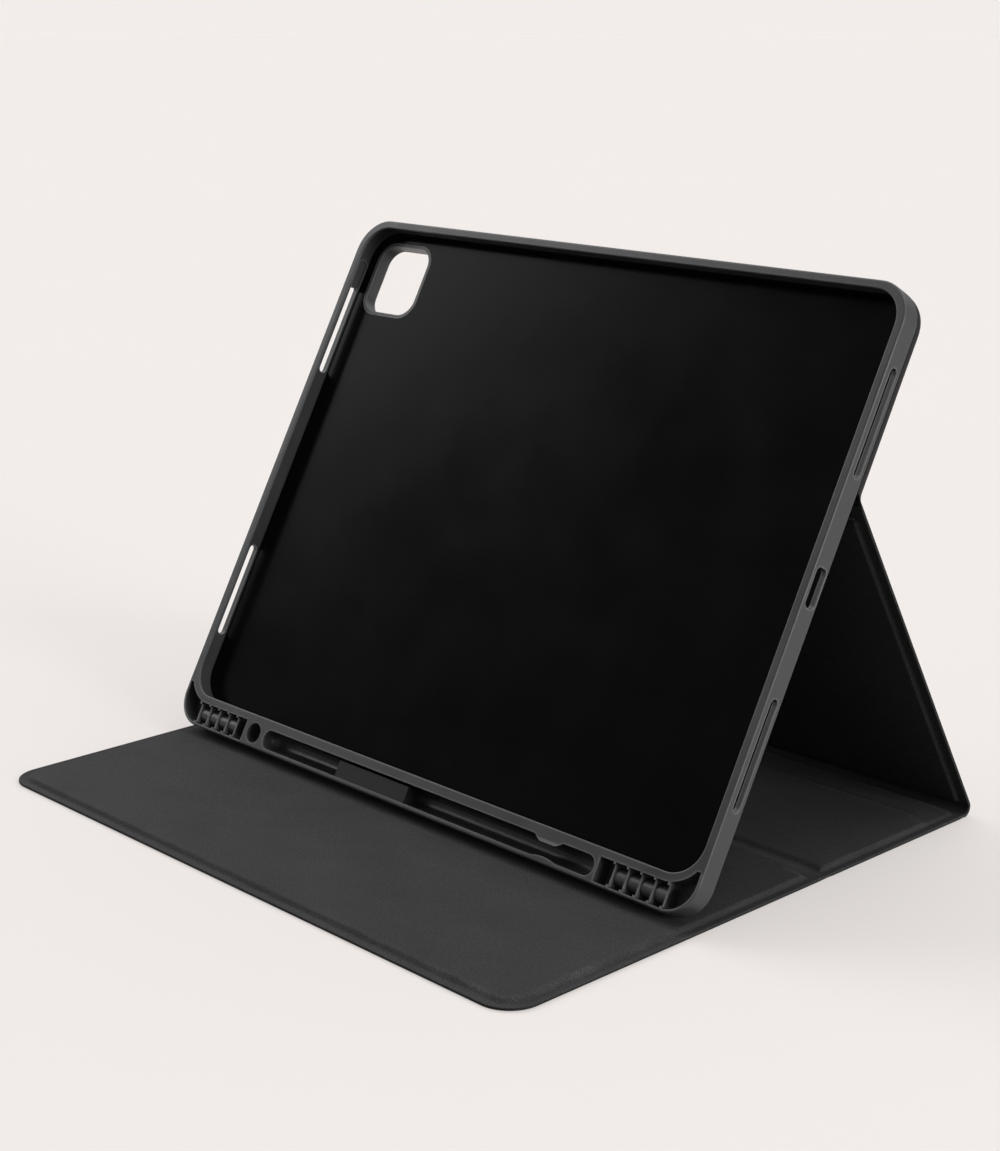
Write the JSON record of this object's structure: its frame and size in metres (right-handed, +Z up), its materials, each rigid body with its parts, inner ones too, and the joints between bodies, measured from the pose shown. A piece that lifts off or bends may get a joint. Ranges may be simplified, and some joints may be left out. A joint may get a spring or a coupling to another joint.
{
  "type": "tablet case",
  "caption": "Folio case for a large tablet, open as a leaning stand: soft shell with stylus bar, flat folding cover in front and a fold-out support panel behind.",
  "frame": {"origin": "centre of the case's box at the surface that it stands on", "axes": "+X along the screen's long side to the right, +Y to the back, +Z up"},
  "size_m": [0.2854, 0.2464, 0.2077],
  "materials": {
    "shell_tpu": "soft matt moulded elastomer, charcoal",
    "button_tpu": "soft matt moulded elastomer, charcoal",
    "shell_plate": "fine moulded grain",
    "tray_microfibre": "short-pile microfibre, near black",
    "stiffener": "fibre-reinforced sheet",
    "cover_skin": "fine-grained coated cloth, black",
    "cover_lining": "suede-like microfibre, charcoal",
    "keeper_steel": "black-coated steel strip",
    "magnet": "nickel-plated magnet"
  },
  "bodies": {
    "cover_front": {"cover_front_skin": "cover_skin", "cover_front_board": "stiffener", "cover_front_lining": "cover_lining", "stand_magnets": "magnet", "closure_magnets": "magnet", "sleep_magnets": "magnet", "crease_fold_strip": "cover_lining"},
    "cover_rear": {"cover_rear_skin": "cover_skin", "cover_rear_board": "stiffener", "cover_rear_lining": "cover_lining", "spine_fold_strip": "cover_lining"},
    "spine": {"spine_skin": "cover_skin", "spine_board": "stiffener", "spine_lining": "cover_lining", "rear_fold_strip": "cover_lining"},
    "support": {"support_skin": "cover_skin", "support_board": "stiffener", "support_lining": "cover_lining"},
    "shell": {"bumper_frame": "shell_tpu", "back_plate": "shell_plate", "tray_lining": "tray_microfibre", "back_board": "stiffener", "back_skin": "cover_skin", "camera_collar": "shell_tpu", "stylus_pad": "shell_tpu", "keeper_strips": "keeper_steel", "back_fold_strip": "cover_skin"},
    "power_button": {"power_button": "button_tpu"},
    "volume_up_button": {"volume_up_button": "button_tpu"},
    "volume_down_button": {"volume_down_button": "button_tpu"}
  },
  "joints": [
    {"name": "crease_fold", "type": "hinge", "parent": "cover_rear", "child": "cover_front", "pos_m": [0, 0.03185, 0.00055], "axis": [1, 0, 0], "range_deg": [0, 150]},
    {"name": "spine_fold", "type": "hinge", "parent": "spine", "child": "cover_rear", "pos_m": [0, 0.1031, 0.00055], "axis": [1, 0, 0], "range_deg": [0, 100]},
    {"name": "stand_fold", "type": "hinge", "parent": "spine", "child": "support", "pos_m": [0, 0.1206, 0.00265], "axis": [-1, 0, 0], "range_deg": [-20, 24]},
    {"name": "back_fold", "type": "hinge", "parent": "support", "child": "shell", "pos_m": [0, 0.04321, 0.13787], "axis": [1, 0, 0], "range_deg": [-40, 48]},
    {"name": "power_button_press", "type": "slide", "parent": "shell", "child": "power_button", "axis": [1, 0, 0], "range_m": [0, 0.0004], "stiffness_N_per_m": 4000, "springref_m": -0.00005},
    {"name": "volume_up_button_press", "type": "slide", "parent": "shell", "child": "volume_up_button", "axis": [0, -0.4799, -0.8773], "range_m": [0, 0.0004], "stiffness_N_per_m": 4000, "springref_m": -0.00005},
    {"name": "volume_down_button_press", "type": "slide", "parent": "shell", "child": "volume_down_button", "axis": [0, -0.4799, -0.8773], "range_m": [0, 0.0004], "stiffness_N_per_m": 4000, "springref_m": -0.00005}
  ],
  "couplings": [
    {"joint": "back_fold", "follows": "stand_fold", "ratio": 2}
  ]
}
